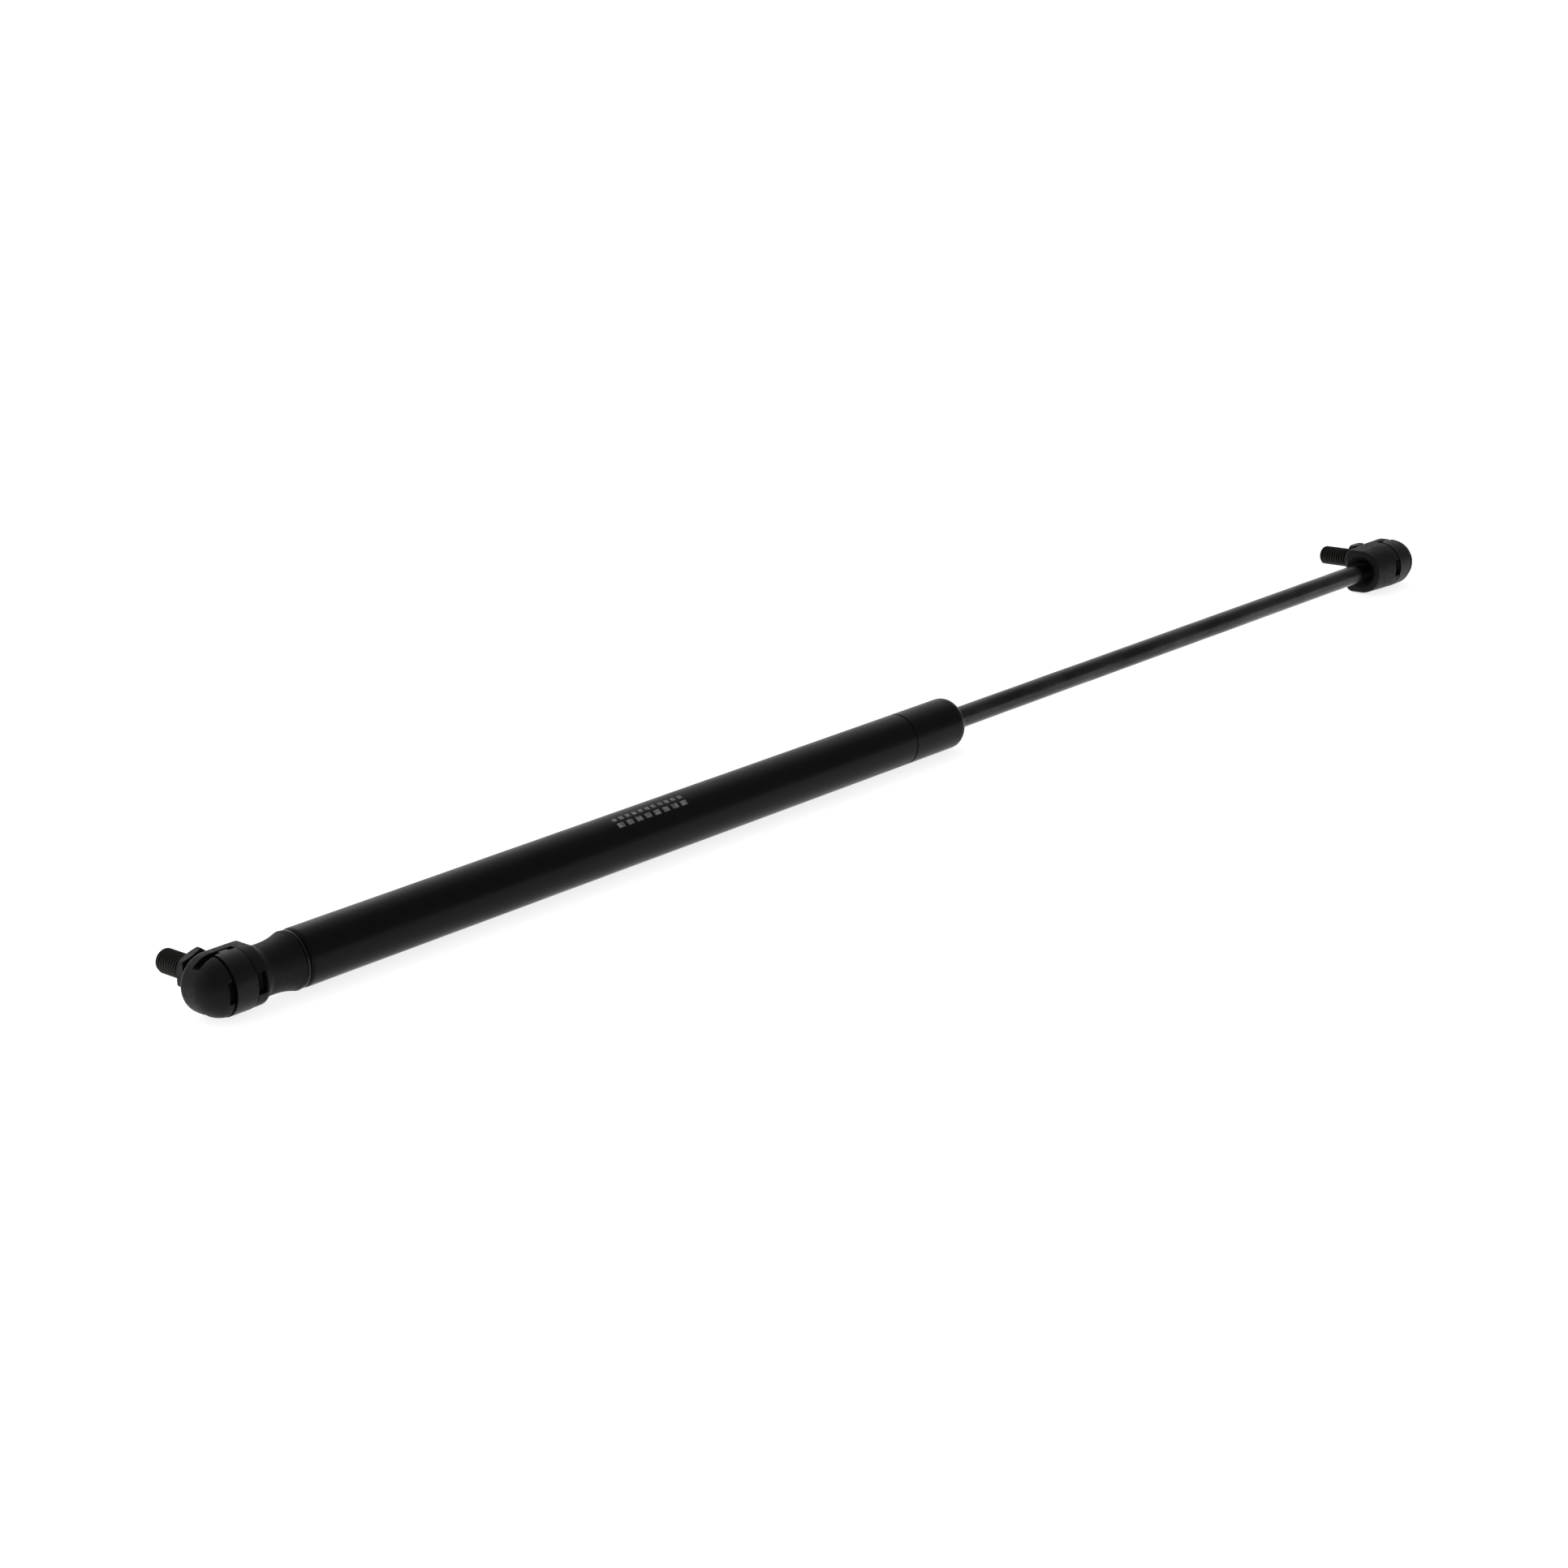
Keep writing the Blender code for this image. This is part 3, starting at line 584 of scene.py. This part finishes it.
def neck():
    """The cylinder-end socket's neck: it leaves the shoulder in a fillet and flares to the tube."""
    waist, edge, steps = 13.0, 0.5, 24
    points = [(NECK_BASE_X, 0), (NECK_BASE_X, NECK_BASE_R - edge / 2), (NECK_BASE_X - edge / 2, NECK_BASE_R)]
    for i in range(steps + 1):
        t = 1 - i / steps
        along = waist + (NECK_BASE_X - edge - waist) * t
        points.append((along, NECK_R + (NECK_BASE_R - NECK_R) * t**2.2))
    points += [(SHOULDER_X + 0.5, NECK_R), (SHOULDER_X + 0.5, 0)]
    return shape("neck", lathe(points))


def fillet_at(made, x, half, passes):
    """Smooths the piece where it is near this x, which turns a crease into a fillet."""
    group = made.vertex_groups.new(name="fillet")
    for vertex in made.data.vertices:
        weight = 1 - abs(vertex.co.x - x) / half
        if weight > 0:
            group.add([vertex.index], min(1.0, 2 * weight), "REPLACE")
    smooth = made.modifiers.new("Fillet", "SMOOTH")
    smooth.factor = 0.5
    smooth.iterations = passes
    smooth.vertex_group = "fillet"


def ball_socket(end, at):
    """One ball socket, with its seat, slots, band groove, pry channel and bore."""
    rod_end = end == "rod"
    if rod_end:
        length = ROD_SOCKET_LENGTH
        tapered = 1 - ROD_TAPER / BODY_R
        bevelled = tapered - ROD_BEVEL / BODY_R
        ends = [(PRY_END, 1.0), (length - ROD_BEVEL, tapered), (length, bevelled)]
        made = socket_blank(ROD_CAP_X, ends)
    else:
        length = NECK_BASE_X
        ends = [(SHOULDER_X, 1.0), (SHOULDER_X + SHOULDER_LENGTH, 1 - SHOULDER_DROP / BODY_R)]
        made = socket_blank(CYLINDER_CAP_X, ends)
        combine(made, [neck()], "UNION")
    mouth = [(BODY_FACE + 3, 0), (BODY_FACE + 3, MOUTH_R), (BODY_FACE + GAP, MOUTH_R), (4.8, SEAT_R)]
    cutters = [
        shape("seat", lathe(mouth + arc(SEAT_R, 90, 180, 24), axis="Y")),
        band_groove(),
        block("pry", (PRY_START, -BODY_R - 3, -PRY_HALF), (PRY_END, -PRY_FLOOR, PRY_HALF)),
    ]
    outside = BODY_R + 3
    for sign in (1, -1):
        slot = sorted((sign * SLOT_FLOOR, sign * outside))
        hole = sorted((sign * LEG_HOLE_DEEP, sign * (SLOT_FLOOR + 0.1)))
        cutters += [
            block("slot", (-2 * outside, SLOT_LOW, slot[0]), (BAND_INNER_X, SLOT_HIGH, slot[1])),
            block(
                "leg_hole",
                (-LEG_HOLE_HALF, SLOT_LOW + 0.1, hole[0]),
                (LEG_HOLE_HALF, LEG_HOLE_HIGH, hole[1]),
            ),
        ]
    bore = [(length + 3, 0)]
    if rod_end:
        bore += [(length + 3, DISH_R), (length, DISH_R), (length - DISH_DEPTH, ROD_R + GAP)]
    else:
        bore += [(length + 3, ROD_R + GAP)]
    bore += [(BORE_END, ROD_R + GAP), (BORE_END, 0)]
    cutters.append(shape("bore", lathe(bore, steps=64)))
    combine(made, cutters, "DIFFERENCE")
    soften(made, 0.16, 4, 0.4)
    if not rod_end:
        fillet_at(made, SHOULDER_X + 2.4, 3.2, 40)
        settle(made)
    made.name = f"{end}_socket_casting"
    finished(made, f"{end}_socket", at)


# ---------------------------------------------------------------- clips

LEG_Y, LEG_BEND_Z, LEG_TIP, LEG_WIDTH = 1.9, 6.8, (3.2, 4.4), 3.0
BALL_R = 5.0


def strip(bm, rows):
    """Faces between rows of points."""
    for first, second in zip(rows, rows[1:]):
        for a, b, c, d in zip(first, first[1:], second[1:], second):
            bm.faces.new((a, b, c, d))


def safety_clip(end, at):
    """A band round the back of the socket. A narrow leg from each end holds the ball in."""
    middle = CLIP_OUTER_R - CLIP_THICK / 2
    half, leg_half = CLIP_WIDTH / 2, LEG_WIDTH / 2
    columns = (-half, -leg_half, leg_half, half)
    bend = 0.9
    top = math.sqrt(middle**2 - (LEG_Y - bend) ** 2)
    leg = [LEG_TIP, (LEG_Y, LEG_BEND_Z)] + arc(bend, 0, 90, 8, (LEG_Y - bend, top - bend))
    bm = bmesh.new()
    band = [[bm.verts.new((x, y, z)) for x in columns] for y, z in arc(middle, 90, 270, 80)]
    strip(bm, band)
    for edge_row, side in ((band[0], 1), (band[-1], -1)):
        rows = [[bm.verts.new((x, y, side * z)) for x in columns[1:3]] for y, z in leg]
        strip(bm, rows + [edge_row[1:3]])
    made = shape(f"{end}_clip_pressing", bm)
    sheet = made.modifiers.new("Sheet", "SOLIDIFY")
    sheet.thickness = CLIP_THICK
    sheet.offset = 0
    sheet.use_even_offset = True
    settle(made)
    ball = shape("ball", lathe(arc(BALL_R + 0.15, 0, 180, 48), axis="Y", steps=64))
    ball.location.y = TRAVEL
    combine(made, [ball], "DIFFERENCE")
    soften(made, 0.1, 3, 0.35)
    finished(made, f"{end}_clip", at)


# ---------------------------------------------------------------- studs

NECK_STUD_R, COLLAR_R, SHANK_R = 2.9, 3.4, 4.0
PITCH, THREAD_DEPTH = 1.25, 0.77


def thread(foot, full, tip, radius_out):
    """An M8 x 1.25 thread along Y: a bare core from foot, full crests from full on, and a chamfered tip."""
    around, rows = 96, 12
    start, end = foot - 2, tip + 2
    total = int((end - start) / PITCH * rows)
    bm = bmesh.new()
    grid = []
    for k in range(total + 1):
        from_crest = abs((k / rows + 0.5) % 1 - 0.5) * PITCH
        flank = max(0.0, from_crest - PITCH / 16) * math.tan(math.radians(60))
        radius = radius_out - min(flank, THREAD_DEPTH)
        line = []
        for i in range(around):
            angle = TAU * i / around
            along = start + (k / rows + i / around) * PITCH
            line.append(bm.verts.new((radius * math.cos(angle), along, radius * math.sin(angle))))
        grid.append(line)
    for k in range(total):
        for i in range(around - 1):
            bm.faces.new((grid[k][i], grid[k][i + 1], grid[k + 1][i + 1], grid[k + 1][i]))
        if k + rows < total:
            bm.faces.new((grid[k][-1], grid[k + rows][0], grid[k + rows + 1][0], grid[k + 1][-1]))
    low = grid[0] + [grid[k][0] for k in range(rows, 0, -1)]
    high = grid[total] + [grid[total - k][-1] for k in range(1, rows + 1)]
    for loop, along in ((low, start - 1), (high, end + PITCH + 1)):
        middle = bm.verts.new((0, along, 0))
        for a, b in zip(loop, loop[1:] + loop[:1]):
            bm.faces.new((a, b, middle))
    made = shape("thread", bm)
    core = radius_out - THREAD_DEPTH + 0.1
    cut_off = [
        (tip, 0),
        (tip, radius_out - 0.85),
        (tip - 0.9, radius_out + 0.05),
        (full, radius_out + 0.05),
        (full - 0.6, core),
        (foot, core),
        (foot, 0),
    ]
    combine(made, [shape("envelope", lathe(cut_off, axis="Y"))], "INTERSECT")
    return made


def hexagon(turn):
    """The stud's hexagon, its corners chamfered on both faces."""
    bm = bmesh.new()
    corner = HEX_FLATS / 2 / math.cos(math.pi / 6)
    turned = Matrix.Rotation(-math.pi / 2, 4, "X") @ Matrix.Rotation(math.radians(turn), 4, "Z")
    centred = Matrix.Translation((0, (HEX_START + HEX_END) / 2, 0))
    bmesh.ops.create_cone(
        bm,
        cap_ends=True,
        segments=6,
        radius1=corner,
        radius2=corner,
        depth=HEX_END - HEX_START,
        matrix=centred @ turned,
    )
    made = shape("hexagon", bm)
    flat, rise = HEX_FLATS / 2 - 0.1, 0.75
    chamfered = [
        (HEX_END, 0),
        (HEX_END, flat),
        (HEX_END - rise, corner + 0.2),
        (HEX_START + rise, corner + 0.2),
        (HEX_START, flat),
        (HEX_START, 0),
    ]
    combine(made, [shape("chamfer", lathe(chamfered, axis="Y", steps=100))], "INTERSECT")
    return made


def ball_stud(end, turn, at):
    """Ball, neck, hexagon and threaded shank in one piece."""
    foot = math.degrees(math.asin(NECK_STUD_R / BALL_R))
    middle = (HEX_START + HEX_END) / 2
    base = [
        (middle, 0, 0),
        (middle, COLLAR_R, 0),
        (HEX_START - 0.5, COLLAR_R, 0.2),
        (HEX_START - 2, NECK_STUD_R, 1.5),
        (BALL_R * math.cos(math.radians(foot)), NECK_STUD_R, 0),
    ]
    points = rounded(base) + arc(BALL_R, foot, 180, 48)[1:]
    made = shape(f"{end}_stud_turned", lathe(points, axis="Y"))
    screwed = thread(HEX_END - 1, HEX_END + 1.5, STUD_END, SHANK_R)
    combine(made, [hexagon(turn), screwed], "UNION")
    finished(made, f"{end}_ball_stud", at, sharp=32)


# ---------------------------------------------------------------- the strut

pressure_tube()
piston_rod()
for node, inner, edge in (
    ("end_washer", 4.3, 0.35),
    ("support_washer", 4.3, 0.15),
    ("seal_washer", 4.3, 0.15),
    ("retaining_washer", 4.3, 0.15),
    ("rod_wiper", 4.15, 0.3),
    ("piston_ring", 6.3, 0.15),
    ("piston_washer", 2.65, 0.15),
    ("orifice_disc", 2.65, 0.1),
):
    ring(node, inner, edge)
for end, at, turn in (("cylinder", AT_CYLINDER, 11), ("rod", AT_ROD, 31)):
    ball_socket(end, at)
    safety_clip(end, at)
    ball_stud(end, turn, at)

for node in ("end_plug", "end_plug_o_ring", "rod_seal", "rod_guide", "piston"):
    part = frame["nodes"][node]
    part.data.materials.clear()
    part.data.materials.append(MATERIALS[SLOTS[node]])


# ---------------------------------------------------------------- studio

scene = bpy.context.scene
scene.view_settings.view_transform = "Standard"


def studio():
    """A faintly glowing white floor, a surround brighter behind the strut, and one soft light there."""
    clearance, glow = 0.0001, 0.82
    bm = bmesh.new()
    bmesh.ops.create_grid(bm, x_segments=1, y_segments=1, size=40)
    floor = shape("floor", bm)
    floor.location.z = cad_box[0][2] - clearance
    white = Finish("floor_white", (0.6, 0.6, 0.6), 0.8)
    white.put("Emission Color", (1.0, 1.0, 1.0, 1.0))
    white.put("Emission Strength", glow)
    floor.data.materials.append(white.material)

    world = bpy.data.worlds.new("studio")
    scene.world = world
    world.use_nodes = True
    tree = world.node_tree
    sky = tree.nodes["Background"]
    where = tree.nodes.new("ShaderNodeTexCoord")
    parts = tree.nodes.new("ShaderNodeSeparateXYZ")
    fade = tree.nodes.new("ShaderNodeMapRange")
    near_y, far_y, near_light, far_light = -0.2, 0.35, 0.33, 0.85
    for socket, number in zip(fade.inputs[1:5], (near_y, far_y, near_light, far_light)):
        socket.default_value = number
    tree.links.new(where.outputs["Generated"], parts.inputs[0])
    tree.links.new(parts.outputs["Y"], fade.inputs[0])
    tree.links.new(fade.outputs[0], sky.inputs[1])
    sky.inputs[0].default_value = (1, 1, 1, 1)

    key = bpy.data.lights.new("softbox", "AREA")
    key.shape = "RECTANGLE"
    key.size, key.size_y = 3.0, 1.5
    key.energy = 8
    lamp = bpy.data.objects.new("softbox", key)
    lamp.location = (0.4, 2.0, 1.4)
    lamp.rotation_euler = (Vector((0.3, 0, 0)) - lamp.location).to_track_quat("-Z", "Y").to_euler()
    scene.collection.objects.link(lamp)


def camera():
    """The photograph's own camera, solved from the strut's edges and the places of its ends."""
    lens = bpy.data.cameras.new("camera")
    lens.lens = 69.3
    lens.sensor_width = 36
    lens.clip_end = 100
    made = bpy.data.objects.new("camera", lens)
    made.location = (-0.47997, -0.71174, 0.30898)
    made.rotation_euler = [math.radians(angle) for angle in (72.9297, 3.3186, -46.2996)]
    scene.collection.objects.link(made)
    scene.camera = made


studio()
camera()
